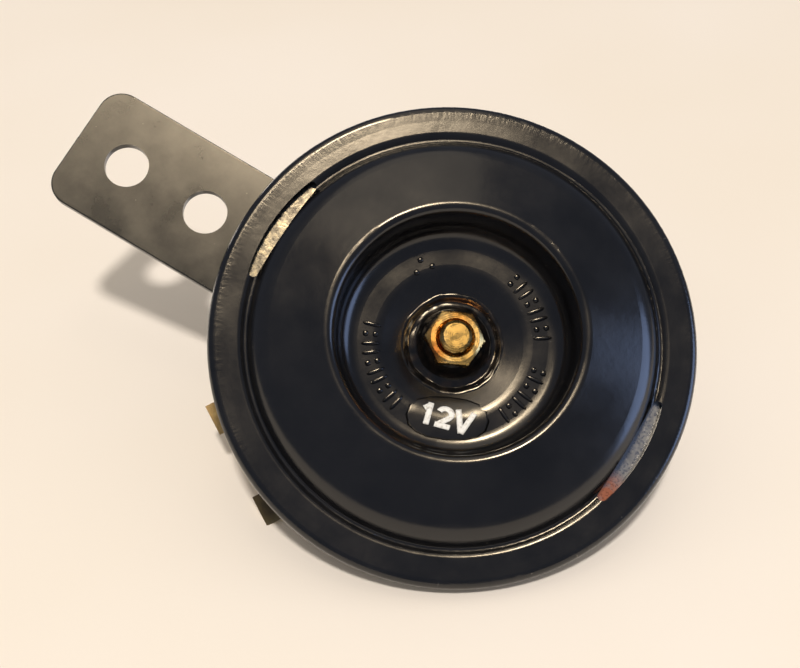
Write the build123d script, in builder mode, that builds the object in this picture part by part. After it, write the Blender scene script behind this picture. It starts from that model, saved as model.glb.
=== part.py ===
"""Twelve-volt disc horn for a road vehicle, with its mounting strap.

The horn is a clamped stack: a pressed front cover is crimped round a sheet-steel diaphragm, two
gaskets and the flange of a deep-drawn rear shell. A coil round a fixed pole core pulls the armature
at the middle of the diaphragm, and a breaker beside it opens the circuit at the end of each stroke.

Millimetres, +Z up, the horn facing -Y. The origin is the centre of the strap's outer hole, halfway
through the sheet. Heights along the horn's own axis are measured from the flat rim face, positive
towards the listener and negative towards the back.
"""

import os
from math import cos, pi, radians, sin, tan

from build123d import *

os.makedirs("parts", exist_ok=True)

# ---------------------------------------------------------------- driving dimensions
# Front cover: one pressing, from the crimped rim to the hole in the floor of the well. The rim's
# own features are placed by how far they lie inside its edge.
RIM_R = 46.5
COVER_T = 0.9
RIM_BEND_R = 1.6
CURL_BEND_R = 1.2
CURL_REACH = 3.1
RIM_FACE_WIDTH = 5.9
RIM_FACE_BEND_R = 1.4
GROOVE_OUTER_INSET = 6.9
GROOVE_INNER_INSET = 7.5
GROOVE_DEPTH = 0.6
GROOVE_BEND_R = 0.4
SHOULDER_CORNER_INSET = 8.9
SHOULDER_HEIGHT = 2.6
SHOULDER_BEND_R = 6.5
WELL_RIM_R = 22.9
WELL_RIM_HEIGHT = 7.6
WELL_RIM_BEND_R = 1.6
WELL_FLOOR_R = 22.0
WELL_FLOOR_DEPTH = 3.6
WELL_FLOOR_BEND_R = 4.0
DISH_OUTER_R = 14.4
DISH_INNER_R = 9.9
DISH_DEPTH = 5.3
DISH_OUTER_BEND_R = 5.0
DISH_INNER_BEND_R = 0.8
LIP_DROP = 0.2
COVER_HOLE_R = 9.1

# Two sound slots in the groove, a little off the line of the strap
SLOT_CLOCK = -2.0
SLOT_OUTER_INSET = 5.3
SLOT_INNER_INSET = 8.5
SLOT_END_OUTER_INSET = 5.5
SLOT_END_INNER_INSET = 7.3
SLOT_TIP_INSET = 6.3
SLOT_HALF_ANGLE = 14.6
SLOT_TIP_ANGLE = 15.9
SLOT_CUT_DEPTH = 3.1

# Clamped stack in the rim, placed from the mouth of the rear shell
MOUTH_INSET = 2.4
GASKET_T = 0.8
GASKET_SETBACK = 1.0
DIAPHRAGM_T = 0.4
DIAPHRAGM_CONE_INSET = 3.6
DIAPHRAGM_CONE_WIDTH = 10.4
DIAPHRAGM_CONE_DROP = 5.5
DIAPHRAGM_BEND_R = 1.2

# Rear shell
SHELL_T = 1.2
SHELL_WALL_DRAFT = 2.8
SHELF_DEPTH = 14.5
SHELF_WIDTH = 11.2
POT_DRAFT = 1.8
SHELL_BEND_R = 2.0

# Coil, core and armature
COIL_HEIGHT = 10.0
CORE_R = 7.8
CORE_HEIGHT = 6.2
BOBBIN_BORE_GAP = 0.2
BOBBIN_WALL = 1.1
BOBBIN_SIDE_GAP = 2.8
WINDING_INSET = 1.0
AIR_GAP = 0.8
ARMATURE_FLANGE_R = 11.0
ARMATURE_FLANGE_T = 1.6
PLATE_T = 1.2
PLATE_OVERHANG = 7.4
PLATE_BORE_GAP = 0.7
PLATE_CHORD_INSET = 0.6
PLATE_RIVET_OFFSET = 4.6
PLATE_RIVET_ANGLES = (90, 180, 270)

# Threads, nuts and washers: M6 at the front, M8 at the back
FRONT_STUD_R = 3.0
FRONT_STUD_PROUD = 2.1
FRONT_NUT_FLATS = 10.0
FRONT_NUT_HEIGHT = 5.0
FRONT_WASHER_R = 7.4
FRONT_WASHER_T = 1.6
FRONT_LOCK_R = 5.4
FRONT_LOCK_T = 1.5
REAR_STUD_R = 4.0
REAR_STUD_PROUD = 1.6
REAR_NUT_FLATS = 13.0
REAR_NUT_HEIGHT = 6.5
REAR_LOCK_R = 7.3
REAR_LOCK_T = 2.0
THREAD_GAP = 0.2
LOCK_SPLIT = 1.0
LOCK_SLANT = 25.0
FRONT_NUT_CLOCK = 26.0
REAR_NUT_CLOCK = 12.0
STUD_CHAMFER = 0.6
NUT_SIDES = 6
NUT_CORNER_ANGLE = 30.0

# Terminals and the contact breaker share one side of the shelf, placed from its inner edge
TERMINAL_CLOCK = 149.0
TERMINAL_PITCH = 20.2
TERMINAL_WIDTH = 6.3
TERMINAL_T = 0.8
TERMINAL_PROUD = 0.6
TERMINAL_EYE_R = 4.2
TERMINAL_TIP_CHAMFER = 1.2
TERMINAL_HOLE_R = 0.8
TERMINAL_HOLE_INSET = 3.6
TERMINAL_RIVET_OFFSET = 4.6
INSULATOR_T = 1.6
INSULATOR_INNER_OFFSET = 2.0
INSULATOR_OUTER_MARGIN = 2.2
INSULATOR_HALF_ANGLE = 25.0
INSULATOR_CORNER_R = 1.6
INSULATOR_BOSS_R = 2.4
BASE_OUTER_MARGIN = 2.0
BREAKER_RIVET_OFFSET = 6.3
BREAKER_RIVET_PITCH = 7.4
SPACER_T = 1.6
SPACER_OFFSET = 3.0
SPACER_LENGTH = 5.6
BREAKER_WIDTH = 12.0
FIXED_ARM_T = 0.8
FIXED_ARM_WIDTH = 6.0
FIXED_ARM_END_RADIAL = 17.0
FIXED_ARM_NECK = 1.0
SPRING_T = 0.3
SPRING_WIDTH = 5.0
SPRING_END_RADIAL = 8.5
SPRING_FLARE = 3.0
BLOCK_CORNER_R = 0.8
CLAMP_T = 1.0
CONTACT_RADIAL = 20.0
CONTACT_R = 1.8
PUSHER_RADIAL = 9.7
PUSHER_R = 1.2
ADJUSTER_OFFSET = 3.9
ADJUSTER_R = 2.0
ADJUSTER_PROUD = 2.6
ADJUSTER_SLOT_WIDTH = 0.8
ADJUSTER_SLOT_DEPTH = 0.9

# Rivets
RIVET_R = 1.4
RIVET_HEAD_R = 2.3
RIVET_HEAD_T = 0.8
RIVET_HEAD_TAPER = 20.0
RIVET_GAP = 0.1

# Strap
STRAP_WIDTH = 26.6
STRAP_T = 2.0
STRAP_HOLE_R = 4.5
STRAP_HOLE_REACH = 75.5
STRAP_HOLE_PITCH = 18.7
STRAP_END_MARGIN = 11.7
STRAP_CORNER_R = 5.0
STRAP_FRONT_DEPTH = 17.0
STRAP_JOG_LENGTH = 10.5
STRAP_BEND_R = 4.0
STRAP_EDGE_R = 0.3

# ---------------------------------------------------------------- radii that follow from these
stack_r = RIM_R - RIM_BEND_R
curl_inner_r = RIM_R - CURL_REACH
shell_mouth_r = curl_inner_r - MOUTH_INSET
wall_foot_r = shell_mouth_r - SHELL_WALL_DRAFT
shelf_inner_r = wall_foot_r - SHELF_WIDTH
pot_floor_r = shelf_inner_r - POT_DRAFT
bobbin_flange_r = pot_floor_r - BOBBIN_SIDE_GAP
diaphragm_cone_r = shell_mouth_r - DIAPHRAGM_CONE_INSET
plate_r = shelf_inner_r + PLATE_OVERHANG
terminal_rivet_radial = shelf_inner_r + TERMINAL_RIVET_OFFSET
breaker_rivet_radial = shelf_inner_r + BREAKER_RIVET_OFFSET
adjuster_radial = shelf_inner_r + ADJUSTER_OFFSET
spacer_inner = shelf_inner_r + SPACER_OFFSET
spacer_outer = spacer_inner + SPACER_LENGTH
insulator_inner_r = shelf_inner_r + INSULATOR_INNER_OFFSET
terminal_reach = RIM_R + TERMINAL_PROUD
strap_reach = STRAP_HOLE_REACH + STRAP_END_MARGIN

# ---------------------------------------------------------------- levels along the horn's axis
cover_back = -COVER_T
front_gasket_back = cover_back - GASKET_T
diaphragm_back = front_gasket_back - DIAPHRAGM_T
rear_gasket_back = diaphragm_back - GASKET_T
flange_back = rear_gasket_back - SHELL_T
curl_back = flange_back - COVER_T

diaphragm_centre = front_gasket_back - DIAPHRAGM_CONE_DROP
armature_seat = diaphragm_centre - DIAPHRAGM_T
armature_flange_back = armature_seat - ARMATURE_FLANGE_T

shelf = -SHELF_DEPTH
shelf_back = shelf - SHELL_T
pot_floor = shelf - COIL_HEIGHT
pot_back = pot_floor - SHELL_T
core_top = pot_floor + CORE_HEIGHT
armature_tip = core_top + AIR_GAP
plate_front = shelf + PLATE_T

front_washer_top = diaphragm_centre + FRONT_WASHER_T
front_lock_top = front_washer_top + FRONT_LOCK_T
front_nut_top = front_lock_top + FRONT_NUT_HEIGHT
front_stud_end = front_nut_top + FRONT_STUD_PROUD

strap_back = pot_back - STRAP_T
rear_lock_back = strap_back - REAR_LOCK_T
rear_nut_back = rear_lock_back - REAR_NUT_HEIGHT
rear_stud_end = rear_nut_back - REAR_STUD_PROUD

base_top = shelf + INSULATOR_T
fixed_arm_top = base_top + FIXED_ARM_T
spring_back = fixed_arm_top + SPACER_T
spring_top = spring_back + SPRING_T
clamp_top = spring_top + CLAMP_T
contact_split = (fixed_arm_top + spring_back) / 2
insulator_back = shelf_back - INSULATOR_T
terminal_back = insulator_back - TERMINAL_T

# ---------------------------------------------------------------- planes
strap_mid = -(STRAP_FRONT_DEPTH + STRAP_T / 2)
horn_centre = (0, strap_mid, -STRAP_HOLE_REACH)
face = Plane(origin=horn_centre, x_dir=(1, 0, 0), z_dir=(0, -1, 0))
section = Plane(origin=horn_centre, x_dir=(1, 0, 0), z_dir=(0, 0, -1))
side = Plane(origin=horn_centre, x_dir=(0, 0, 1), z_dir=(1, 0, 0))
horn_axis = Axis(horn_centre, (0, -1, 0))
terminal_way = (cos(radians(TERMINAL_CLOCK)), 0, sin(radians(TERMINAL_CLOCK)))
breaker_face = Plane(origin=horn_centre, x_dir=terminal_way, z_dir=(0, -1, 0))


def level(height):
    """The plane square to the horn's axis at this height."""
    return face.offset(height)


def polar(radius, angle):
    """A point on the face, from its radius and its clock angle in degrees."""
    return (radius * cos(radians(angle)), radius * sin(radians(angle)))


def breaker_level(height):
    """The level plane turned so that its x runs out along the terminals and the breaker."""
    return breaker_face.offset(height)


def save(piece, name):
    """Label a finished piece and write it to its own file."""
    piece.part.label = name
    export_step(piece.part, f"parts/{name}.step")


# Places of the fasteners on the shelf, in the breaker's plane
terminal_points = [(terminal_rivet_radial, way * TERMINAL_PITCH / 2) for way in (1, -1)]
breaker_points = [(breaker_rivet_radial, way * BREAKER_RIVET_PITCH / 2) for way in (1, -1)]
plate_points = [polar(shelf_inner_r + PLATE_RIVET_OFFSET, angle) for angle in PLATE_RIVET_ANGLES]


# ---------------------------------------------------------------- front cover
# The sheet's front surface as a profile from the hole outwards, thickened backwards and turned.
# The rim drops as a skirt round the stack and curls in behind the shell's flange.
with BuildPart() as front_cover:
    with BuildSketch(section):
        with BuildLine():
            FilletPolyline(
                (COVER_HOLE_R, -DISH_DEPTH - LIP_DROP),
                (DISH_INNER_R, -DISH_DEPTH),
                (DISH_OUTER_R, -WELL_FLOOR_DEPTH),
                (WELL_FLOOR_R, -WELL_FLOOR_DEPTH),
                (WELL_RIM_R, WELL_RIM_HEIGHT),
                (RIM_R - SHOULDER_CORNER_INSET, SHOULDER_HEIGHT),
                (RIM_R - GROOVE_INNER_INSET, -GROOVE_DEPTH),
                (RIM_R - GROOVE_OUTER_INSET, -GROOVE_DEPTH),
                (RIM_R - RIM_FACE_WIDTH, 0),
                (RIM_R, 0),
                (RIM_R, curl_back),
                (curl_inner_r, curl_back),
                radius=[
                    DISH_INNER_BEND_R,
                    DISH_OUTER_BEND_R,
                    WELL_FLOOR_BEND_R,
                    WELL_RIM_BEND_R,
                    SHOULDER_BEND_R,
                    GROOVE_BEND_R,
                    GROOVE_BEND_R,
                    RIM_FACE_BEND_R,
                    RIM_BEND_R,
                    CURL_BEND_R,
                ],
            )
            offset(amount=COVER_T, side=Side.LEFT, kind=Kind.INTERSECTION)
        make_face()
    revolve(axis=horn_axis)
    for clock in (90 + SLOT_CLOCK, 270 + SLOT_CLOCK):
        with BuildSketch(level(RIM_BEND_R)):
            with BuildLine():
                outer_start = polar(RIM_R - SLOT_END_OUTER_INSET, clock - SLOT_HALF_ANGLE)
                outer_end = polar(RIM_R - SLOT_END_OUTER_INSET, clock + SLOT_HALF_ANGLE)
                inner_start = polar(RIM_R - SLOT_END_INNER_INSET, clock - SLOT_HALF_ANGLE)
                inner_end = polar(RIM_R - SLOT_END_INNER_INSET, clock + SLOT_HALF_ANGLE)
                start_tip = polar(RIM_R - SLOT_TIP_INSET, clock - SLOT_TIP_ANGLE)
                end_tip = polar(RIM_R - SLOT_TIP_INSET, clock + SLOT_TIP_ANGLE)
                ThreePointArc(outer_start, polar(RIM_R - SLOT_OUTER_INSET, clock), outer_end)
                ThreePointArc(outer_end, end_tip, inner_end)
                ThreePointArc(inner_end, polar(RIM_R - SLOT_INNER_INSET, clock), inner_start)
                ThreePointArc(inner_start, start_tip, outer_start)
            make_face()
        extrude(amount=-(RIM_BEND_R + SLOT_CUT_DEPTH), mode=Mode.SUBTRACT)
save(front_cover, "front_cover")


# ---------------------------------------------------------------- diaphragm and gaskets
# The diaphragm lies flat where it is clamped and under the slots, and falls in a shallow cone to
# the flat middle that the armature carries.
with BuildPart() as diaphragm:
    with BuildSketch(section):
        with BuildLine():
            FilletPolyline(
                (FRONT_STUD_R + THREAD_GAP, diaphragm_centre),
                (diaphragm_cone_r - DIAPHRAGM_CONE_WIDTH, diaphragm_centre),
                (diaphragm_cone_r, front_gasket_back),
                (stack_r, front_gasket_back),
                radius=DIAPHRAGM_BEND_R,
            )
            offset(amount=DIAPHRAGM_T, side=Side.RIGHT, kind=Kind.INTERSECTION)
        make_face()
    revolve(axis=horn_axis)
save(diaphragm, "diaphragm")


def rim_gasket(back):
    """A flat ring of gasket board with its back face at this level."""
    with BuildPart() as ring:
        with BuildSketch(level(back)):
            Circle(stack_r)
            Circle(shell_mouth_r + GASKET_SETBACK, mode=Mode.SUBTRACT)
        extrude(amount=GASKET_T)
    return ring


save(rim_gasket(front_gasket_back), "front_gasket")
save(rim_gasket(rear_gasket_back), "rear_gasket")


# ---------------------------------------------------------------- rear shell
# Drawn in two steps: a shelf for the terminals and the breaker, and a pot for the coil.
with BuildPart() as rear_shell:
    with BuildSketch(section):
        with BuildLine():
            FilletPolyline(
                (REAR_STUD_R + THREAD_GAP, pot_floor),
                (pot_floor_r, pot_floor),
                (shelf_inner_r, shelf),
                (wall_foot_r, shelf),
                (shell_mouth_r, rear_gasket_back),
                (stack_r, rear_gasket_back),
                radius=SHELL_BEND_R,
            )
            offset(amount=SHELL_T, side=Side.RIGHT, kind=Kind.INTERSECTION)
        make_face()
    revolve(axis=horn_axis)
    with BuildSketch(breaker_level(shelf)):
        with Locations(*terminal_points):
            Circle(INSULATOR_BOSS_R)
        with Locations(*breaker_points, *plate_points):
            Circle(RIVET_R + RIVET_GAP)
        with Locations((adjuster_radial, 0)):
            Circle(ADJUSTER_R)
    extrude(amount=-SHELL_T, mode=Mode.SUBTRACT)
save(rear_shell, "rear_shell")


# ---------------------------------------------------------------- core, coil and armature
def turned_stud(points, tip_r, tip_height, direction):
    """A turned piece: its stepped half section spun round the horn's axis, the stud's end chamfered."""
    with BuildPart() as piece:
        with BuildSketch(section):
            with BuildLine():
                Polyline(
                    (0, points[0][1]),
                    *points,
                    (tip_r, tip_height - direction * STUD_CHAMFER),
                    (tip_r - STUD_CHAMFER, tip_height),
                    (0, tip_height),
                    close=True,
                )
            make_face()
        revolve(axis=horn_axis)
    return piece


pole_core = turned_stud(
    [(CORE_R, core_top), (CORE_R, pot_floor), (REAR_STUD_R, pot_floor)],
    REAR_STUD_R,
    rear_stud_end,
    -1,
)
save(pole_core, "pole_core")

armature = turned_stud(
    [
        (CORE_R, armature_tip),
        (CORE_R, armature_flange_back),
        (ARMATURE_FLANGE_R, armature_flange_back),
        (ARMATURE_FLANGE_R, armature_seat),
        (FRONT_STUD_R, armature_seat),
    ],
    FRONT_STUD_R,
    front_stud_end,
    1,
)
save(armature, "armature")

bobbin_bore_r = CORE_R + BOBBIN_BORE_GAP
bobbin_hub_r = bobbin_bore_r + BOBBIN_WALL

with BuildPart() as coil_bobbin:
    with BuildSketch(section):
        with BuildLine():
            Polyline(
                (bobbin_bore_r, pot_floor),
                (bobbin_flange_r, pot_floor),
                (bobbin_flange_r, pot_floor + BOBBIN_WALL),
                (bobbin_hub_r, pot_floor + BOBBIN_WALL),
                (bobbin_hub_r, shelf - BOBBIN_WALL),
                (bobbin_flange_r, shelf - BOBBIN_WALL),
                (bobbin_flange_r, shelf),
                (bobbin_bore_r, shelf),
                close=True,
            )
        make_face()
    revolve(axis=horn_axis)
save(coil_bobbin, "coil_bobbin")

with BuildPart() as coil_winding:
    with BuildSketch(level(pot_floor + BOBBIN_WALL)):
        Circle(bobbin_flange_r - WINDING_INSET)
        Circle(bobbin_hub_r, mode=Mode.SUBTRACT)
    extrude(amount=COIL_HEIGHT - 2 * BOBBIN_WALL)
save(coil_winding, "coil_winding")

# The plate closes the coil's magnetic path over the pot. One side is cut straight for the breaker.
with BuildPart() as coil_plate:
    with BuildSketch(breaker_level(shelf)):
        Circle(plate_r)
        with Locations((shelf_inner_r - PLATE_CHORD_INSET, 0)):
            Rectangle(plate_r, 2 * plate_r, align=(Align.MIN, Align.CENTER), mode=Mode.SUBTRACT)
        Circle(CORE_R + PLATE_BORE_GAP, mode=Mode.SUBTRACT)
        with Locations(*plate_points):
            Circle(RIVET_R + RIVET_GAP, mode=Mode.SUBTRACT)
    extrude(amount=PLATE_T)
save(coil_plate, "coil_plate")


def rivets(points, front, back):
    """Flat-headed rivets at these points of the breaker's plane, gripping from front to back."""
    with BuildPart() as group:
        with BuildSketch(breaker_level(back)):
            with Locations(*points):
                Circle(RIVET_R)
        extrude(amount=front - back)
        for start, way in ((front, 1), (back, -1)):
            with BuildSketch(breaker_level(start)):
                with Locations(*points):
                    Circle(RIVET_HEAD_R)
            extrude(amount=way * RIVET_HEAD_T, taper=RIVET_HEAD_TAPER)
    return group


save(rivets(plate_points, plate_front, shelf_back), "plate_rivets")


# ---------------------------------------------------------------- nuts and washers
def hex_nut(flats, height, bore_r, seat, way, clock):
    """A hexagon nut from its seat, forwards or back, its corners turned off at both ends."""
    corner_r = flats / 2 / cos(pi / NUT_SIDES)
    corner_drop = (corner_r - flats / 2) * tan(radians(NUT_CORNER_ANGLE))
    with BuildPart() as nut:
        with BuildSketch(level(seat)):
            RegularPolygon(flats / 2, side_count=NUT_SIDES, major_radius=False, rotation=clock)
            Circle(bore_r, mode=Mode.SUBTRACT)
        extrude(amount=way * height)
        with BuildSketch(section):
            with BuildLine():
                Polyline(
                    (0, seat),
                    (flats / 2, seat),
                    (corner_r, seat + way * corner_drop),
                    (corner_r, seat + way * (height - corner_drop)),
                    (flats / 2, seat + way * height),
                    (0, seat + way * height),
                    close=True,
                )
            make_face()
        revolve(axis=horn_axis, mode=Mode.INTERSECT)
    return nut


def washer(outer_r, bore_r, thickness, back, split):
    """A flat ring from its back face forwards, with a slanting cut of this width, or none."""
    with BuildPart() as ring:
        with BuildSketch(level(back)):
            Circle(outer_r)
            Circle(bore_r, mode=Mode.SUBTRACT)
            if split:
                with Locations(((outer_r + bore_r) / 2, 0)):
                    Rectangle(outer_r, split, rotation=LOCK_SLANT, mode=Mode.SUBTRACT)
        extrude(amount=thickness)
    return ring


front_bore_r = FRONT_STUD_R + THREAD_GAP
rear_bore_r = REAR_STUD_R + THREAD_GAP
front_nut = hex_nut(
    FRONT_NUT_FLATS, FRONT_NUT_HEIGHT, FRONT_STUD_R, front_lock_top, 1, FRONT_NUT_CLOCK
)
rear_nut = hex_nut(REAR_NUT_FLATS, REAR_NUT_HEIGHT, REAR_STUD_R, rear_lock_back, -1, REAR_NUT_CLOCK)
save(front_nut, "front_nut")
save(rear_nut, "strap_nut")
save(washer(FRONT_WASHER_R, front_bore_r, FRONT_WASHER_T, diaphragm_centre, 0), "front_washer")
save(washer(FRONT_LOCK_R, front_bore_r, FRONT_LOCK_T, front_washer_top, LOCK_SPLIT), "front_lock_washer")
save(washer(REAR_LOCK_R, rear_bore_r, REAR_LOCK_T, rear_lock_back, LOCK_SPLIT), "strap_lock_washer")


# ---------------------------------------------------------------- contact breaker
# Sprung strips stacked on an insulating base and riveted through the shelf. The fixed arm reaches
# over to one terminal; the spring's fibre pusher is struck by the armature's flange.
def ring_segment(inner_r, outer_r, half_angle):
    """A piece of a flat ring, centred on the x axis, with rounded corners."""
    with BuildSketch() as segment:
        with BuildLine():
            outer_start = polar(outer_r, -half_angle)
            outer_end = polar(outer_r, half_angle)
            inner_start = polar(inner_r, -half_angle)
            inner_end = polar(inner_r, half_angle)
            ThreePointArc(outer_start, (outer_r, 0), outer_end)
            Line(outer_end, inner_end)
            ThreePointArc(inner_end, (inner_r, 0), inner_start)
            Line(inner_start, outer_start)
        make_face()
        fillet(segment.vertices(), INSULATOR_CORNER_R)
    return segment.sketch


with BuildPart() as breaker_base:
    with BuildSketch(breaker_level(shelf)):
        add(ring_segment(insulator_inner_r, wall_foot_r - BASE_OUTER_MARGIN, INSULATOR_HALF_ANGLE))
        with Locations(*terminal_points, *breaker_points):
            Circle(RIVET_R + RIVET_GAP, mode=Mode.SUBTRACT)
        with Locations((adjuster_radial, 0)):
            Circle(ADJUSTER_R + RIVET_GAP, mode=Mode.SUBTRACT)
    extrude(amount=INSULATOR_T)
save(breaker_base, "breaker_base")

with BuildPart() as fixed_contact_arm:
    with BuildSketch(breaker_level(base_top)):
        with BuildLine():
            Polyline(
                (FIXED_ARM_END_RADIAL, -FIXED_ARM_WIDTH / 2),
                (spacer_inner, -FIXED_ARM_WIDTH / 2),
                (spacer_inner, -BREAKER_WIDTH / 2),
                (spacer_outer, -BREAKER_WIDTH / 2),
                (spacer_outer, BREAKER_WIDTH / 2),
                (terminal_rivet_radial + RIVET_HEAD_R, TERMINAL_PITCH / 2),
                (terminal_rivet_radial - RIVET_HEAD_R, TERMINAL_PITCH / 2),
                (spacer_inner - FIXED_ARM_NECK, FIXED_ARM_WIDTH / 2),
                (FIXED_ARM_END_RADIAL, FIXED_ARM_WIDTH / 2),
                close=True,
            )
        make_face()
        with Locations(terminal_points[0]):
            Circle(RIVET_HEAD_R)
            Circle(RIVET_R + RIVET_GAP, mode=Mode.SUBTRACT)
        with Locations(*breaker_points):
            Circle(RIVET_R + RIVET_GAP, mode=Mode.SUBTRACT)
    extrude(amount=FIXED_ARM_T)
save(fixed_contact_arm, "fixed_contact_arm")


def breaker_block(back, thickness):
    """A riveted block of the breaker's stack, from its back face forwards."""
    with BuildPart() as block:
        with BuildSketch(breaker_level(back)):
            with Locations((spacer_inner, 0)):
                RectangleRounded(
                    SPACER_LENGTH,
                    BREAKER_WIDTH,
                    BLOCK_CORNER_R,
                    align=(Align.MIN, Align.CENTER),
                )
            with Locations(*breaker_points):
                Circle(RIVET_R + RIVET_GAP, mode=Mode.SUBTRACT)
        extrude(amount=thickness)
    return block


save(breaker_block(fixed_arm_top, SPACER_T), "breaker_spacer")
save(breaker_block(spring_top, CLAMP_T), "breaker_clamp")

with BuildPart() as contact_spring:
    with BuildSketch(breaker_level(spring_back)):
        with BuildLine():
            Polyline(
                (SPRING_END_RADIAL, -SPRING_WIDTH / 2),
                (spacer_inner - SPRING_FLARE, -SPRING_WIDTH / 2),
                (spacer_inner, -BREAKER_WIDTH / 2),
                (spacer_outer, -BREAKER_WIDTH / 2),
                (spacer_outer, BREAKER_WIDTH / 2),
                (spacer_inner, BREAKER_WIDTH / 2),
                (spacer_inner - SPRING_FLARE, SPRING_WIDTH / 2),
                (SPRING_END_RADIAL, SPRING_WIDTH / 2),
                close=True,
            )
        make_face()
        with Locations(*breaker_points):
            Circle(RIVET_R + RIVET_GAP, mode=Mode.SUBTRACT)
    extrude(amount=SPRING_T)
save(contact_spring, "contact_spring")


def button(radial, radius, back, front):
    """A round button on the breaker's middle line."""
    with BuildPart() as disc:
        with BuildSketch(breaker_level(back)):
            with Locations((radial, 0)):
                Circle(radius)
        extrude(amount=front - back)
    return disc


save(button(CONTACT_RADIAL, CONTACT_R, fixed_arm_top, contact_split), "fixed_contact_point")
save(button(CONTACT_RADIAL, CONTACT_R, contact_split, spring_back), "moving_contact_point")
save(button(PUSHER_RADIAL, PUSHER_R, spring_top, armature_flange_back), "contact_pusher")
save(rivets(breaker_points, clamp_top, shelf_back), "breaker_rivets")

# The adjusting screw is slotted at the back and stops against the fixed arm.
with BuildPart() as adjusting_screw:
    with BuildSketch(breaker_level(base_top)):
        with Locations((adjuster_radial, 0)):
            Circle(ADJUSTER_R)
    extrude(amount=-(base_top - insulator_back + ADJUSTER_PROUD))
    with BuildSketch(breaker_level(insulator_back - ADJUSTER_PROUD)):
        with Locations((adjuster_radial, 0)):
            Rectangle(2 * ADJUSTER_R, ADJUSTER_SLOT_WIDTH)
    extrude(amount=ADJUSTER_SLOT_DEPTH, mode=Mode.SUBTRACT)
save(adjusting_screw, "adjusting_screw")


# ---------------------------------------------------------------- terminals
# Each tab is riveted through an insulator whose bosses line the shell's holes.
with BuildPart() as terminal_insulator:
    with BuildSketch(breaker_level(shelf_back)):
        add(ring_segment(insulator_inner_r, wall_foot_r - INSULATOR_OUTER_MARGIN, INSULATOR_HALF_ANGLE))
        with Locations(*breaker_points):
            Circle(RIVET_HEAD_R + RIVET_GAP, mode=Mode.SUBTRACT)
        with Locations((adjuster_radial, 0)):
            Circle(ADJUSTER_R + RIVET_GAP, mode=Mode.SUBTRACT)
    extrude(amount=-INSULATOR_T)
    with BuildSketch(breaker_level(shelf)):
        with Locations(*terminal_points):
            Circle(INSULATOR_BOSS_R - RIVET_GAP)
    extrude(amount=-SHELL_T)
    with BuildSketch(breaker_level(shelf)):
        with Locations(*terminal_points):
            Circle(RIVET_R + RIVET_GAP)
    extrude(amount=-(SHELL_T + INSULATOR_T), mode=Mode.SUBTRACT)
save(terminal_insulator, "terminal_insulator")


def terminal(offset_side):
    """A spade tab: a rounded eye under the rivet and a straight blade with bevelled corners."""
    with BuildPart() as tab:
        with BuildSketch(breaker_level(insulator_back)) as outline:
            with Locations((terminal_rivet_radial, offset_side)):
                Rectangle(
                    terminal_reach - terminal_rivet_radial,
                    TERMINAL_WIDTH,
                    align=(Align.MIN, Align.CENTER),
                )
            tip = outline.vertices().group_by(Axis((0, 0, 0), outline.workplanes[0].x_dir))[-1]
            chamfer(tip, TERMINAL_TIP_CHAMFER)
            with Locations((terminal_rivet_radial, offset_side)):
                Circle(TERMINAL_EYE_R)
                Circle(RIVET_R + RIVET_GAP, mode=Mode.SUBTRACT)
            with Locations((terminal_reach - TERMINAL_HOLE_INSET, offset_side)):
                Circle(TERMINAL_HOLE_R, mode=Mode.SUBTRACT)
        extrude(amount=-TERMINAL_T)
    return tab


save(terminal(TERMINAL_PITCH / 2), "supply_terminal")
save(terminal(-TERMINAL_PITCH / 2), "earth_terminal")
save(rivets(terminal_points[:1], fixed_arm_top, terminal_back), "supply_rivet")
save(rivets(terminal_points[1:], base_top, terminal_back), "earth_rivet")


# ---------------------------------------------------------------- strap
# One flat bar, joggled forwards past the shell so that its free end lies nearer the rim.
with BuildPart() as strap:
    with BuildSketch(side):
        with BuildLine():
            FilletPolyline(
                (-STRAP_WIDTH / 2, pot_back),
                (shelf_inner_r, pot_back),
                (shelf_inner_r + STRAP_JOG_LENGTH, -STRAP_FRONT_DEPTH),
                (strap_reach, -STRAP_FRONT_DEPTH),
                radius=STRAP_BEND_R,
            )
            offset(amount=STRAP_T, side=Side.RIGHT, kind=Kind.INTERSECTION)
        make_face()
    extrude(amount=STRAP_WIDTH / 2, both=True)
    with BuildSketch(level(strap_back)) as outline:
        Circle(STRAP_WIDTH / 2)
        Rectangle(STRAP_WIDTH, strap_reach, align=(Align.CENTER, Align.MIN))
        fillet(outline.vertices().group_by(Axis.Z)[-1], STRAP_CORNER_R)
    extrude(amount=-STRAP_FRONT_DEPTH - strap_back, mode=Mode.INTERSECT)
    fillet(strap.edges(), STRAP_EDGE_R)
    with BuildSketch(level(strap_back)):
        Circle(rear_bore_r)
        with Locations((0, STRAP_HOLE_REACH), (0, STRAP_HOLE_REACH - STRAP_HOLE_PITCH)):
            Circle(STRAP_HOLE_R)
    extrude(amount=-STRAP_FRONT_DEPTH - strap_back, mode=Mode.SUBTRACT)
save(strap, "strap")
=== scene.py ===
# %% [markdown]
# # Dressing a twelve-volt disc horn
# The horn is a clamped stack of pressed steel: a black front cover with a deep well, crimped round
# a diaphragm and the flange of a rear shell, and hung from a flat steel strap. Its solids come
# ready made and stay where they are. These cells set up the view, the resting place and the light,
# give every solid its finish, and add the small forms that solids leave out.

# %% Load the solids
from math import atan2, cos, degrees, radians, sin, sqrt

import bpy
import numpy as np
from mathutils import Matrix, Vector


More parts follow.
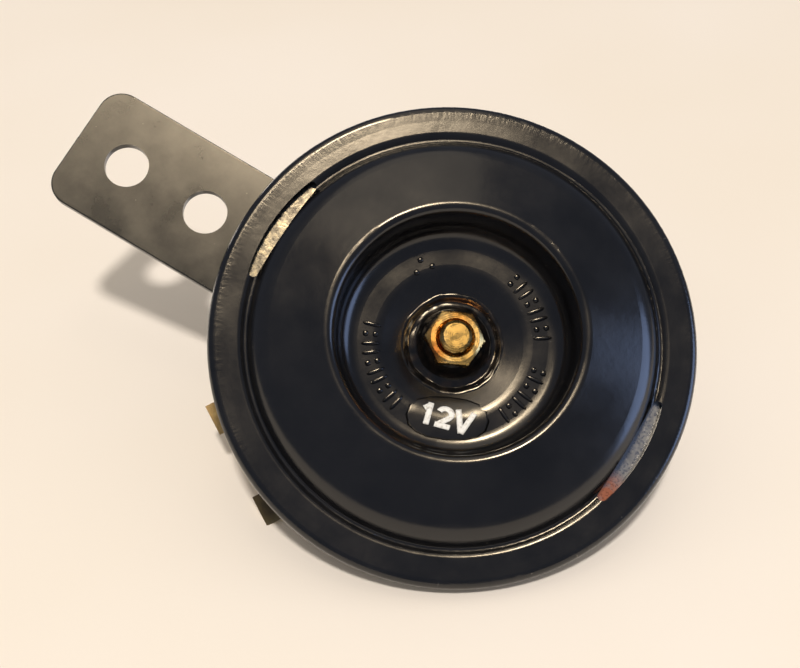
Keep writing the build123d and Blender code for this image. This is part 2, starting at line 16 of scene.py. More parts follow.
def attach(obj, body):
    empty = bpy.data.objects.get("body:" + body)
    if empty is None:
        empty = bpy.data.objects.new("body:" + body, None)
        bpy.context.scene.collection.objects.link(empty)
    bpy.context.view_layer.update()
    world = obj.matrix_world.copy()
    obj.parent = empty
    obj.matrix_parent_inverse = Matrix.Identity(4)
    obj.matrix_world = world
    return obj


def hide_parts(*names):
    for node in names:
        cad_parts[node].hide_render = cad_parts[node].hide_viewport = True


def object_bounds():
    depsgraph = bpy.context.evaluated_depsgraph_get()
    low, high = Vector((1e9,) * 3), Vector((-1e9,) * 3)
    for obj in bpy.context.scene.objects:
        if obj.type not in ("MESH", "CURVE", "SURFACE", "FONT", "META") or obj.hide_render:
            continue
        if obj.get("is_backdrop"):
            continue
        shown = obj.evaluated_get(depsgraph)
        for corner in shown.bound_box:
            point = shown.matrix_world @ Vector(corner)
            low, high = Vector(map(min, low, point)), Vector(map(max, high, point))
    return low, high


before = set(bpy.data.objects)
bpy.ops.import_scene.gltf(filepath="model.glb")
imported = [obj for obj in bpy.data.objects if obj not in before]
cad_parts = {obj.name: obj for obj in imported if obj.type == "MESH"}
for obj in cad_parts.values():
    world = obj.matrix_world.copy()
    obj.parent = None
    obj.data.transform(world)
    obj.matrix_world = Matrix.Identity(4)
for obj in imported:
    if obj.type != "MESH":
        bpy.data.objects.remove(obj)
cad_box = [list(corner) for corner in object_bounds()]
print("solids:", len(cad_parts), "box mm:", [round(1000 * (high - low), 1) for low, high in zip(*cad_box)])

# %% [markdown]
# ## One set of coordinates for everything round
# Nearly every form on the horn is turned about one axis. So points are worked out as u to the
# right, v up and w out of the face, in millimetres from the middle of the flat rim, and one
# function puts them into the scene's metres.

# %% Millimetres on the horn's face to metres in the scene
MM = 0.001
FACE_Y = -18.0
FACE_Z = -75.5


def place(u, v, w):
    """Points on the horn's face in mm to metres: x is u, y falls by w from the face, z rises by v."""
    u, v, w = np.broadcast_arrays(np.asarray(u, float), v, w)
    return np.stack([u, FACE_Y - w, FACE_Z + v], axis=-1) * MM


def turn(u, v, w):
    """A direction on the horn's face as a direction in the scene: the same turn, with no shift."""
    return Vector((u, -w, v))


print("middle of the rim face:", place(0, 0, 0).round(4))

# %% [markdown]
# ## The camera
# The camera looks nearly straight at the face from about thirty centimetres, so the far side of
# the rim is a little smaller than the near side. Its lens follows from the distance and from how
# many pixels a millimetre covers at the rim.

# %% Camera
IMAGE_W, IMAGE_H = 800, 668
SENSOR_MM = 36.0
VIEW_DISTANCE = 264.0
PIXELS_PER_MM = 5.315
FACE_TILT = radians(12.2)
FACE_TILT_WAY = radians(74.0)
CAMERA_ROLL = radians(59.0)
FACE_AT_PIXEL = (455.0, 338.4)

face_axis = Vector((sin(FACE_TILT) * cos(FACE_TILT_WAY), sin(FACE_TILT) * sin(FACE_TILT_WAY), cos(FACE_TILT)))
tilt = Vector((0, 0, 1)).rotation_difference(face_axis).to_matrix()
face_to_camera = tilt @ Matrix.Rotation(CAMERA_ROLL, 3, "Z")
focal_pixels = PIXELS_PER_MM * VIEW_DISTANCE
face_in_camera = Vector(
    (
        (FACE_AT_PIXEL[0] - IMAGE_W / 2) / PIXELS_PER_MM,
        (IMAGE_H / 2 - FACE_AT_PIXEL[1]) / PIXELS_PER_MM,
        -VIEW_DISTANCE,
    )
)
camera_on_face = -(face_to_camera.transposed() @ face_in_camera)

camera = bpy.data.objects.new("camera", bpy.data.cameras.new("camera"))
bpy.context.scene.collection.objects.link(camera)
bpy.context.scene.camera = camera
camera.data.sensor_width = SENSOR_MM
camera.data.lens = SENSOR_MM * focal_pixels / IMAGE_W
camera.data.clip_start, camera.data.clip_end = 0.01, 20.0
camera_axes = [turn(*face_to_camera[row]) for row in range(3)]
camera_turn = Matrix(camera_axes).transposed().to_4x4()
camera.matrix_world = Matrix.Translation(Vector(place(*camera_on_face))) @ camera_turn
print("lens mm:", round(camera.data.lens, 1), "camera at:", [round(x, 3) for x in camera.matrix_world.translation])


def from_camera(x, y, z):
    """A direction seen in the picture, x right, y up and z towards the viewer, as one in the scene."""
    return (camera_axes[0] * x + camera_axes[1] * y + camera_axes[2] * z).normalized()


# %% [markdown]
# ## The table top
# A horn put down on its back rests on three things: the corner of its rear nut, one tab and one
# point of the rim. Those three heights give the table's lean under it: the face leans towards
# the rim's low point, and the plane square to that lean just touches all three.

# %% Resting plane from its three contacts, as (radius, w) in mm and for the tab also its clock
RIM_EDGE = (46.5, -4.6)
NUT_CORNER = (7.5, -36.2)
TAB_CORNER = (48.3, -18.1, 163.5)
FLOOR_GAP = 0.05

rise, run = RIM_EDGE[1] - NUT_CORNER[1], RIM_EDGE[0] - NUT_CORNER[0]
lean = atan2(rise, run)
rest_depth = -cos(lean) * RIM_EDGE[1] + sin(lean) * RIM_EDGE[0]
tab_share = (rest_depth + cos(lean) * TAB_CORNER[1]) / (sin(lean) * TAB_CORNER[0])
low_clock = radians(TAB_CORNER[2]) + np.arccos(tab_share)
floor_normal = turn(-sin(lean) * cos(low_clock), -sin(lean) * sin(low_clock), cos(lean)).normalized()
floor_point = Vector(place(0, 0, 0)) - floor_normal * (rest_depth + FLOOR_GAP) * MM
print("lean:", round(degrees(lean), 1), "low point of the rim at clock:", round(degrees(low_clock), 1))


def new_mesh(name, points, faces, smooth=True):
    """A mesh object from an array of points in metres and lists of corner numbers."""
    mesh = bpy.data.meshes.new(name)
    corners = [[int(number) for number in face] for face in faces]
    mesh.from_pydata(np.asarray(points, float).reshape(-1, 3).tolist(), [], corners)
    mesh.polygons.foreach_set("use_smooth", np.full(len(mesh.polygons), smooth))
    mesh.update()
    made = bpy.data.objects.new(name, mesh)
    bpy.context.scene.collection.objects.link(made)
    return made


def grid_faces(rows, columns, close_rows, close_columns):
    """Four corner numbers for each face of a grid of points; a closed way joins its last line to its first."""
    row, column = np.arange(rows - (not close_rows)), np.arange(columns - (not close_columns))
    row, column = np.meshgrid(row, column, indexing="ij")
    here, down, after = row * columns, (row + 1) % rows * columns, (column + 1) % columns
    return np.stack([here + column, here + after, down + after, down + column], axis=-1).reshape(-1, 4)


FLOOR_HALF = 3.0
floor_x = floor_normal.orthogonal().normalized()
floor_y = floor_normal.cross(floor_x)
square = ((-1, -1), (1, -1), (1, 1), (-1, 1))
floor_corners = [list(floor_point + (floor_x * a + floor_y * b) * FLOOR_HALF) for a, b in square]
floor = new_mesh("floor", floor_corners, [(0, 1, 2, 3)], smooth=False)
floor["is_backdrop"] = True

# %% [markdown]
# ## Finishes
# One small function adds a node with its settings and links, and one turns a written colour
# into the linear numbers that the shader mixes with.

# %% Helpers for materials


def linear(code):
    """An sRGB hex colour as linear red, green, blue and alpha: each channel by the sRGB curve."""
    channels = [int(code[i : i + 2], 16) / 255 for i in (1, 3, 5)]
    return [c / 12.92 if c <= 0.04045 else ((c + 0.055) / 1.055) ** 2.4 for c in channels] + [1.0]


def add(tree, kind, settings=None, **sockets):
    """Add a node of this kind, with its own settings, and values or links for sockets by name or as _number."""
    node = tree.nodes.new("ShaderNode" + kind)
    for key, value in (settings or {}).items():
        setattr(node, key, value)
    for key, value in sockets.items():
        by_number = key[0] == "_" and key[1:].isdigit()
        socket = node.inputs[int(key[1:]) if by_number else key.replace("_", " ")]
        if isinstance(value, bpy.types.NodeSocket):
            tree.links.new(value, socket)
        else:
            socket.default_value = value
    return node


def finish(name):
    """A new material with its Principled shader, as (material, tree, shader)."""
    material = bpy.data.materials.new(name)
    material.use_nodes = True
    return material, material.node_tree, material.node_tree.nodes["Principled BSDF"]


def coat(node, material):
    """Give a CAD solid this finish."""
    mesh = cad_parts[node].data
    mesh.materials.clear()
    mesh.materials.append(material)


print("the enamel's near-black in linear light:", [round(channel, 4) for channel in linear("#0c0c0e")[:3]])

# %% [markdown]
# ## Where a pattern sits
# Marks on a pressed or turned part follow its axis: wrinkles of a crimp run outwards, tool marks
# run round. Object coordinates are in metres about the strap's hole, so a Mapping node turns them
# into millimetres about the horn's axis. A pattern that runs round the axis reads the direction
# from the axis as a point on a circle, because an angle would jump where it closes on itself.

# %% Patterns in millimetres about the axis


def on_axis(tree):
    """Object coordinates as millimetres from the middle of the face: u, then -w, then v."""
    here = add(tree, "TexCoord").outputs["Object"]
    return add(tree, "Mapping", Vector=here, Scale=(1000, 1000, 1000), Location=(0, -FACE_Y, -FACE_Z)).outputs[0]


def around(tree, spot, across, along):
    """(radius in mm, pattern point): the direction from the axis times across, with radius times along as y."""
    flat = add(tree, "VectorMath", {"operation": "MULTIPLY"}, _0=spot, _1=(1, 0, 1)).outputs[0]
    radius = add(tree, "VectorMath", {"operation": "LENGTH"}, _0=flat).outputs["Value"]
    way = add(tree, "VectorMath", {"operation": "NORMALIZE"}, _0=flat).outputs[0]
    out = add(tree, "Math", {"operation": "MULTIPLY"}, _0=radius, _1=along).outputs[0]
    far = add(tree, "VectorMath", {"operation": "SCALE"}, _0=(0, 1, 0), Scale=out).outputs[0]
    circle = add(tree, "VectorMath", {"operation": "SCALE"}, _0=way, Scale=across).outputs[0]
    return radius, add(tree, "VectorMath", {"operation": "ADD"}, _0=circle, _1=far).outputs[0]


def band(tree, value, start, end, low=0.0, high=1.0):
    """A value that passes from low to high as the input goes from start to end, and stays there."""
    return add(tree, "MapRange", Value=value, From_Min=start, From_Max=end, To_Min=low, To_Max=high).outputs[0]


def blend_tones(tree, share, *codes):
    """Colours spread evenly along a ramp and picked by a share from 0 to 1."""
    ramp = add(tree, "ValToRGB", Fac=share)
    stops = ramp.color_ramp.elements
    while len(stops) < len(codes):
        stops.new(0.5)
    for number, (stop, code) in enumerate(zip(stops, codes)):
        stop.position, stop.color = number / (len(codes) - 1), linear(code)
    return ramp.outputs["Color"]


print("pattern helpers ready; one pattern unit is 1 mm")

# %% [markdown]
# ## Stoved black enamel
# The cover, the shell and the washer under the nut are dipped or sprayed black and baked. Baked
# enamel is smooth and glossy, but not flat: it dries with a faint orange peel of about one and a
# half millimetres, and it wrinkles where the rim was crimped after painting. Dust settles on it,
# and wiping leaves the gloss uneven. All of that is too low to model, so it is made with noise in
# the bump and the roughness. The paint film is a plastic, so it is not metallic, and bare steel
# shows only in small chips along the rim.

# %% Black enamel, with its crimp wrinkles, chips and dust
PEEL_MM = 1.5
WRINKLE_MM = 0.75
CRIMP_R = 45.0
RIM_CHIP_R = 45.1
SMEAR_MM = 11
GRIT_MM = 0.35
DUST_GAP_MM = 4.2
DUST_R_MM = 0.10
ENAMEL_IOR = 1.56


def black_enamel(name, dark, light, gloss, rim_wear):
    """Two near-blacks mixed by soft noise, with peel, wrinkles and chips past the rim's inner edge, and dust."""
    material, tree, shader = finish(name)
    spot = on_axis(tree)
    radius, rays = around(tree, spot, CRIMP_R / WRINKLE_MM, 0.35)
    smear = add(tree, "TexNoise", Vector=spot, Scale=1 / SMEAR_MM, Detail=5.0, Roughness=0.6).outputs[0]
    peel = add(tree, "TexNoise", Vector=spot, Scale=1 / PEEL_MM, Detail=1.5).outputs[0]
    wrinkle = add(tree, "TexNoise", Vector=rays, Scale=1.0, Detail=3.0, Roughness=0.65).outputs[0]
    grit = add(tree, "TexNoise", Vector=spot, Scale=1 / GRIT_MM, Detail=2.0).outputs[0]
    cloudy = band(tree, smear, 0.35, 0.68)
    tone = add(tree, "Mix", {"data_type": "RGBA"}, Factor=cloudy, _6=linear(dark), _7=linear(light)).outputs[2]
    # Dust: round specks round scattered points, on a third of the points only.
    cells = add(tree, "TexVoronoi", Vector=spot, Scale=1 / DUST_GAP_MM, Randomness=1.0)
    picked = add(tree, "SeparateXYZ", Vector=cells.outputs["Color"]).outputs["X"]
    near = add(tree, "Math", {"operation": "LESS_THAN"}, _0=cells.outputs["Distance"], _1=DUST_R_MM / DUST_GAP_MM)
    picked = band(tree, picked, 0.62, 0.68)
    speck = add(tree, "Math", {"operation": "MULTIPLY"}, _0=near.outputs[0], _1=picked).outputs[0]
    thin = add(tree, "Math", {"operation": "MULTIPLY"}, _0=speck, _1=0.55).outputs[0]
    tone = add(tree, "Mix", {"data_type": "RGBA"}, Factor=thin, _6=tone, _7=linear("#a79f92")).outputs[2]
    # Chips: small, only on the outermost bend, and only where the rays of the crimp run high.
    edge = band(tree, radius, RIM_CHIP_R, RIM_CHIP_R + 0.7)
    chip = add(tree, "Math", {"operation": "MULTIPLY"}, _0=edge, _1=band(tree, wrinkle, 0.66, 0.70)).outputs[0]
    patchy = band(tree, smear, 0.5, 0.56, 0.0, rim_wear)
    chip = add(tree, "Math", {"operation": "MULTIPLY"}, _0=chip, _1=patchy).outputs[0]
    tone = add(tree, "Mix", {"data_type": "RGBA"}, Factor=chip, _6=tone, _7=linear("#8d8a84")).outputs[2]
    tree.links.new(tone, shader.inputs["Base Color"])
    tree.links.new(chip, shader.inputs["Metallic"])
    wiped, dusty = band(tree, smear, 0.3, 0.7, gloss - 0.03, gloss + 0.07), band(tree, speck, 0, 1, 0, 0.4)
    rough = add(tree, "Math", {"operation": "ADD"}, _0=wiped, _1=dusty)
    tree.links.new(rough.outputs[0], shader.inputs["Roughness"])
    shader.inputs["IOR"].default_value = ENAMEL_IOR
    crimp = add(tree, "Math", {"operation": "MULTIPLY"}, _0=wrinkle, _1=band(tree, radius, 43.2, 44.8)).outputs[0]
    soft = add(tree, "Bump", Strength=1.0, Distance=0.000012, Height=peel)
    gritty = add(tree, "Bump", Strength=1.0, Distance=0.000003, Height=grit, Normal=soft.outputs[0])
    raised = add(tree, "Bump", Strength=1.0, Distance=0.000045 * rim_wear, Height=crimp, Normal=gritty.outputs[0])
    tree.links.new(raised.outputs[0], shader.inputs["Normal"])
    return material


cover_enamel = black_enamel("stoved_black_enamel", "#0c0c0e", "#141416", 0.19, 1.0)
shell_enamel = black_enamel("dipped_black_enamel", "#131314", "#1d1c1c", 0.32, 0.3)
for node in ("front_cover", "front_washer"):
    coat(node, cover_enamel)
coat("rear_shell", shell_enamel)
print("enamel peel mm:", PEEL_MM, "crimp wrinkles round the rim:", round(2 * np.pi * CRIMP_R / WRINKLE_MM))

# %% [markdown]
# ## The strap's paint
# The strap is cut from bright mild steel strip and sprayed with one thin coat, so the strip's
# rolling lines show through along its length and the paint is worn through in small scattered
# spots. It is flatter and greyer than the cover's enamel. The lines are a noise stretched forty
# times along the strap.

# %% Thin paint on rolled strip
ROLL_LINE_MM = 0.45
ROLL_LINE_LONG_MM = 40 * ROLL_LINE_MM
THIN_PAINT_IOR = 1.46

strap_paint, tree, shader = finish("sprayed_black_on_rolled_steel")
spot = on_axis(tree)
lines = add(tree, "Mapping", Vector=spot, Scale=(1 / ROLL_LINE_MM, 1 / ROLL_LINE_MM, 1 / ROLL_LINE_LONG_MM)).outputs[0]
rolled = add(tree, "TexNoise", Vector=lines, Scale=1.0, Detail=3.0).outputs[0]
cloudy = add(tree, "TexNoise", Vector=spot, Scale=1 / 8, Detail=5.0, Roughness=0.65).outputs[0]
pits = add(tree, "TexVoronoi", Vector=spot, Scale=1 / 2.6, Randomness=1.0).outputs["Distance"]
worn, bare = band(tree, cloudy, 0.35, 0.7), band(tree, pits, 0.045, 0.03, 0.0, 0.5)
tone = add(tree, "Mix", {"data_type": "RGBA"}, Factor=worn, _6=linear("#1b1b19"), _7=linear("#2c2b27")).outputs[2]
tone = add(tree, "Mix", {"data_type": "RGBA"}, Factor=bare, _6=tone, _7=linear("#6f6a60")).outputs[2]
tree.links.new(tone, shader.inputs["Base Color"])
tree.links.new(band(tree, cloudy, 0.3, 0.7, 0.20, 0.27), shader.inputs["Roughness"])
shader.inputs["IOR"].default_value = THIN_PAINT_IOR
low = add(tree, "Bump", Strength=1.0, Distance=0.000008, Height=cloudy)
raised = add(tree, "Bump", Strength=1.0, Distance=0.000003, Height=rolled, Normal=low.outputs[0])
tree.links.new(raised.outputs[0], shader.inputs["Normal"])
coat("strap", strap_paint)
print("rolling lines every", ROLL_LINE_MM, "mm")

# %% [markdown]
# ## Plated and bare metals
# Zinc plating keeps parts from rusting. Clear zinc is bluish and even, and yellow passivation adds
# a thin film that shifts from gold to copper. The electrical parts are bare brass, bronze and
# silver. One function lays them all out: tones picked by a cloudy noise, a finer grain in the
# roughness and the bump, and optional rings where the part was turned in a lathe.

# %% Metals


def metal(name, tones, rough, cloud_mm, grain_mm, grain_deep, ring_mm=0.0, spread=(0.35, 0.65), cloud_detail=4.0):
    """A metal toned by clouds of that size, with grain that deep in metres and lathe rings that far apart."""
    material, tree, shader = finish(name)
    spot = on_axis(tree)
    cloud = add(tree, "TexNoise", Vector=spot, Scale=1 / cloud_mm, Detail=cloud_detail, Roughness=0.5).outputs[0]
    grain = add(tree, "TexNoise", Vector=spot, Scale=1 / grain_mm, Detail=2.0).outputs[0]
    tree.links.new(blend_tones(tree, band(tree, cloud, *spread), *tones), shader.inputs["Base Color"])
    shader.inputs["Metallic"].default_value = 1.0
    tree.links.new(band(tree, grain, 0.3, 0.7, rough - 0.07, rough + 0.09), shader.inputs["Roughness"])
    raised = add(tree, "Bump", Strength=1.0, Distance=grain_deep, Height=grain)
    if ring_mm:
        radius, _ = around(tree, spot, 1.0, 1.0)
        phase = add(tree, "Math", {"operation": "MULTIPLY"}, _0=radius, _1=2 * np.pi / ring_mm).outputs[0]
        wave = add(tree, "Math", {"operation": "SINE"}, _0=phase).outputs[0]
        raised = add(tree, "Bump", Strength=1.0, Distance=0.000002, Height=wave, Normal=raised.outputs[0])
    tree.links.new(raised.outputs[0], shader.inputs["Normal"])
    return material


finishes = {
    # Yellow passivated zinc: gold, drifting to copper and straw.
    "yellow_zinc": metal(
        "yellow_passivated_zinc", ("#b26f38", "#c2914c", "#d2b477", "#b89a5c"),
        0.26, 8.0, 1.2, 0.000003, ring_mm=0.4, spread=(0.36, 0.64), cloud_detail=0.6,
    ),
    # Clear zinc: pale and bluish, a little dull.
    "zinc_steel": metal("clear_zinc_plating", ("#9a9c9f", "#b7babd", "#c9ccce"), 0.34, 3.0, 0.5, 0.000005, 0.6),
    # Low-carbon magnet steel, oiled: grey with a faint brown.
    "core_steel": metal("oiled_magnet_steel", ("#6f6b66", "#85827e", "#8f8d8a"), 0.40, 4.0, 0.6, 0.000005, 0.5),
    # Stamped brass sheet, handled: yellow with brown tarnish.
    "terminal_brass": metal("stamped_brass", ("#7f6f55", "#978560", "#b0a07a"), 0.42, 5.0, 0.5, 0.000005),
    # Phosphor bronze spring strip: redder than brass and smoother.
    "spring_bronze": metal("phosphor_bronze_strip", ("#a06c3c", "#b98350", "#c8955f"), 0.28, 5.0, 0.5, 0.000003),
    # Fine silver contact buttons with grey sulphide.
    "contact_silver": metal("fine_silver", ("#8e8c88", "#d6d4cf", "#e2e1dd"), 0.26, 1.2, 0.3, 0.000003),
}
print("metals:", len(finishes))

# %% [markdown]
# ## The diaphragm's sheet
# The diaphragm is zinc-plated spring steel, and only two slivers of it show, one in each slot. Its
# tone is darker and warmer at the top and paler and bluish at the bottom; the bluish tone is a
# painted reflection of the cool window. The grain's bump is deeper at the top, so it sparkles more
# there, and at one end of the lower slot a little rust has crept in. So the tone and the depth of
# the grain pass from one to the other up the sheet, and the rust is a soft round patch.

# %% Zinc-plated spring sheet, darker at the top, with a painted bluish reflection and a stain at the bottom
SPANGLE_MM = 0.45
RUST_SPOT = (-10.4, 0.0, -38.0)

sheet, tree, shader = finish("zinc_plated_spring_sheet")
spot = on_axis(tree)
height = add(tree, "SeparateXYZ", Vector=spot).outputs["Z"]
cloud = add(tree, "TexNoise", Vector=spot, Scale=1 / 1.6, Detail=4.0).outputs[0]
grain = add(tree, "TexNoise", Vector=spot, Scale=1 / SPANGLE_MM, Detail=2.0).outputs[0]
# The bluish tones at the bottom are a painted reflection of the cool window; the darker, warmer tones sit at the top,
# and the height picks between them.
darker_top_tones = blend_tones(tree, band(tree, cloud, 0.35, 0.65), "#3e3d3c", "#605e59", "#827d70")
smooth = blend_tones(tree, band(tree, cloud, 0.25, 0.75), "#8b9099", "#a3a8b2")
tone = add(tree, "Mix", {"data_type": "RGBA"}, Factor=band(tree, height, -30, 30), _6=smooth, _7=darker_top_tones).outputs[2]
far = add(tree, "VectorMath", {"operation": "DISTANCE"}, _0=spot, _1=RUST_SPOT).outputs["Value"]
patch, patchy = band(tree, far, 5.5, 2.5), band(tree, cloud, 0.2, 0.5)
rust = add(tree, "Math", {"operation": "MULTIPLY"}, _0=patch, _1=patchy).outputs[0]
tone = add(tree, "Mix", {"data_type": "RGBA"}, Factor=rust, _6=tone, _7=linear("#a8674f")).outputs[2]
tree.links.new(tone, shader.inputs["Base Color"])
tree.links.new(band(tree, rust, 0, 1, 1.0, 0.45), shader.inputs["Metallic"])
tree.links.new(band(tree, grain, 0.3, 0.7, 0.24, 0.38), shader.inputs["Roughness"])
sparkle = add(tree, "Math", {"operation": "MULTIPLY"}, _0=grain, _1=band(tree, height, -30, 30, 0.25, 1.0)).outputs[0]
raised = add(tree, "Bump", Strength=1.0, Distance=0.00002, Height=sparkle)
tree.links.new(raised.outputs[0], shader.inputs["Normal"])
finishes["diaphragm_zinc"] = sheet
print("spangle mm:", SPANGLE_MM)

# %% [markdown]
# ## Winding, bobbin and boards
# The coil is enamelled copper wire, so its surface is a stack of round wires side by side along
# the axis. The bobbin is moulded nylon, smooth and pale. The insulators are phenolic paper board,
# brown with darker fibres and a dull cut edge, and the gaskets are soft grey fibre board. Boards
# and nylon differ only in tone, gloss and grain, so one function makes all three.

# %% Coil, nylon and boards
WIRE_MM = 0.56

winding, tree, shader = finish("enamelled_copper_wire")
spot = on_axis(tree)
depth = add(tree, "SeparateXYZ", Vector=spot).outputs["Y"]
phase = add(tree, "Math", {"operation": "MULTIPLY"}, _0=depth, _1=2 * np.pi / WIRE_MM).outputs[0]
turns = add(tree, "Math", {"operation": "SINE"}, _0=phase).outputs[0]
# The tone follows the wires' wave: darker in the grooves between the wires, a painted shade, and brighter on their
# crests, a painted highlight.
tone = blend_tones(tree, band(tree, turns, -1, 1), "#4a1f0e", "#9a4a22", "#b96532")
tree.links.new(tone, shader.inputs["Base Color"])
shader.inputs["Metallic"].default_value = 0.85
shader.inputs["Roughness"].default_value = 0.28
tree.links.new(add(tree, "Bump", Strength=1.0, Distance=0.0001, Height=turns).outputs[0], shader.inputs["Normal"])
finishes["winding_copper"] = winding


def board(name, tones, rough, fibre_mm, deep):
    """A non-metal with fibres stretched across the sheet: long in the sheet's plane and thin along the axis."""
    material, tree, shader = finish(name)
    spot = on_axis(tree)
    laid = add(tree, "Mapping", Vector=spot, Scale=(1 / fibre_mm, 6 / fibre_mm, 0.25 / fibre_mm)).outputs[0]
    fibre = add(tree, "TexNoise", Vector=laid, Scale=1.0, Detail=5.0, Roughness=0.65, Distortion=0.4).outputs[0]
    tree.links.new(blend_tones(tree, band(tree, fibre, 0.3, 0.7), *tones), shader.inputs["Base Color"])
    tree.links.new(band(tree, fibre, 0.3, 0.7, rough - 0.06, rough + 0.08), shader.inputs["Roughness"])
    tree.links.new(add(tree, "Bump", Strength=1.0, Distance=deep, Height=fibre).outputs[0], shader.inputs["Normal"])
    return material


finishes["bobbin_nylon"] = board("moulded_nylon", ("#cfc8b4", "#ded8c6"), 0.42, 5.0, 0.000004)
finishes["phenolic"] = board("phenolic_paper_board", ("#3a2212", "#5a3820", "#6b4629"), 0.48, 1.2, 0.00001)
finishes["gasket_board"] = board("grey_fibre_board", ("#4e4a43", "#6a655c", "#7d776c"), 0.85, 0.8, 0.00003)
for node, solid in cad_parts.items():
    slot_name = solid.data.materials[0].name.split(".")[0]
    if slot_name in finishes:
        coat(node, finishes[slot_name])
print("nodes with a finish:", sum(1 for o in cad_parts.values() if "_" in o.data.materials[0].name))

# %% [markdown]
# ## Threaded studs
# The armature and the pole core are turned steel with a rolled thread on the stud. A thread is a
# ridge that climbs one pitch in each turn. The whole piece is a profile carried round the axis,
# and on the stud the radius falls and rises once per pitch of the height less the share of the
# turn made, so the ridge climbs. It could be cut with a screw modifier, but the wave needs no
# joining and keeps the piece one closed surface.

# %% Turned pieces with a thread
RINGS_PER_PITCH = 10
TURN_STEPS = 72
THREAD_DEEP = 0.54
TURNED_EDGE = radians(32)
M6_PITCH, M8_PITCH = 1.0, 1.25


def turned(name, profile, stud, pitch):
    """A profile of (radius, w) turned about the axis; the thread's wave is cut between the two w of stud."""
    low, high = stud
    radii, heights = [], []
    for (r0, w0), (r1, w1) in zip(profile, profile[1:]):
        on_stud = min(w0, w1) >= low and max(w0, w1) <= high
        count = max(2, int(abs(w1 - w0) / pitch * RINGS_PER_PITCH)) if on_stud else 2
        share = np.linspace(0, 1, count, endpoint=False)
        radii.append(r0 + share * (r1 - r0))
        heights.append(w0 + share * (w1 - w0))
    radii = np.append(np.concatenate(radii), profile[-1][0])
    heights = np.append(np.concatenate(heights), profile[-1][1])
    clock = np.linspace(0, 2 * np.pi, TURN_STEPS, endpoint=False)
    height, angle = np.meshgrid(heights, clock, indexing="ij")
    phase = height / pitch - angle / (2 * np.pi)
    tooth = np.abs(2 * (phase - np.floor(phase)) - 1)
    inside = np.clip((height - low) / (0.6 * pitch), 0, 1) * np.clip((high - height) / (0.3 * pitch), 0, 1)
    radius = radii[:, None] - THREAD_DEEP * pitch * np.clip(1.25 * tooth - 0.125, 0, 1) * inside
    rows, columns = radius.shape
    ends = [list(range(columns))[::-1], list(range((rows - 1) * columns, rows * columns))]
    faces = grid_faces(rows, columns, False, True).tolist() + ends
    made = new_mesh(name, place(radius * np.cos(angle), radius * np.sin(angle), height), faces)
    made.data.set_sharp_from_angle(angle=TURNED_EDGE)
    return made


armature_profile = [(0.02, -17.5), (7.8, -17.5), (7.8, -9.2), (11.0, -9.2), (11.0, -7.6), (3.0, -7.6)]
armature_profile += [(3.0, -5.0), (3.0, 2.4), (2.4, 3.0), (0.02, 3.0)]
core_profile = [(0.02, -37.8), (3.4, -37.8), (4.0, -37.2), (4.0, -28.0), (4.0, -24.5)]
core_profile += [(7.8, -24.5), (7.8, -18.3), (0.02, -18.3)]
threaded_armature = turned("threaded_armature", armature_profile, (-5.0, 2.4), M6_PITCH)
threaded_core = turned("threaded_pole_core", core_profile, (-37.2, -28.0), M8_PITCH)
for piece, node, slot_name in (
    (threaded_armature, "armature", "yellow_zinc"),
    (threaded_core, "pole_core", "zinc_steel"),
):
    piece.data.materials.append(finishes[slot_name])
    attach(piece, "root")
    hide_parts(node)
    print(piece.name, "triangles:", sum(len(p.vertices) - 2 for p in piece.data.polygons))

# %% [markdown]
# ## The front nut
# A nut is cut from hexagon bar and its corners are turned off in a cone, which leaves a round
# bright ring on top and a curved edge on each flat. That curve needs no drawing: at each point the
# radius is the smaller of the hexagon's and the cone's. The bore is countersunk, so a dark ring
# shows between the nut and the stud.

# %% Hexagon nut with turned corners
NUT_FLAT_R, NUT_RING_R, NUT_BORE_R, NUT_SINK_R = 5.0, 4.6, 3.1, 3.75
NUT_TOP, NUT_BOTTOM, NUT_SINK = 0.9, -4.1, 0.6
NUT_CONE, NUT_EDGE = radians(30), radians(28)
NUT_CORNER_CLOCK = radians(-4.6)
SIXTH = np.pi / 3

clock = np.linspace(0, 2 * np.pi, 192, endpoint=False)
from_flat = np.mod(clock - NUT_CORNER_CLOCK + SIXTH, SIXTH) - SIXTH / 2
hexagon = NUT_FLAT_R / np.cos(from_flat)
side_w = np.linspace(NUT_BOTTOM, NUT_TOP, 41)
cone = NUT_RING_R + np.minimum(NUT_TOP - side_w, side_w - NUT_BOTTOM + 0.2) / np.tan(NUT_CONE)
side_r = np.minimum(hexagon[None, :], cone[:, None])
inner = np.array([(NUT_SINK_R, NUT_TOP), (NUT_BORE_R, NUT_TOP - NUT_SINK), (NUT_BORE_R, NUT_BOTTOM)])
nut_r = np.vstack([side_r, np.repeat(inner[:, :1], len(clock), axis=1)])
nut_w = np.concatenate([side_w, inner[:, 1]])[:, None]
nut_points = place(nut_r * np.cos(clock), nut_r * np.sin(clock), nut_w)
turned_nut = new_mesh("turned_front_nut", nut_points, grid_faces(*nut_r.shape, True, True))
turned_nut.data.set_sharp_from_angle(angle=NUT_EDGE)
turned_nut.data.materials.append(finishes["yellow_zinc"])
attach(turned_nut, "root")
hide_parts("front_nut")
print("nut across corners mm:", round(float(2 * side_r.max()), 2))

# %% [markdown]
# ## The floor of the well
# The floor is flat in a narrow ring, curls up into the well's wall outside it and falls in a
# shallow dish inside it. Everything pressed or printed there follows it, so its height is written
# once as a function of the distance from the axis: an arc, a flat, an arc and a slope.

# %% Height of the well's floor
FLOOR_W = -3.6
FOOT_R, FOOT_BEND = 18.31, 4.0
DISH_START_R, DISH_BEND = 15.31, 5.0
DISH_SLOPE_R, DISH_SLOPE_W, DISH_FALL = 13.55, -3.92, 0.378


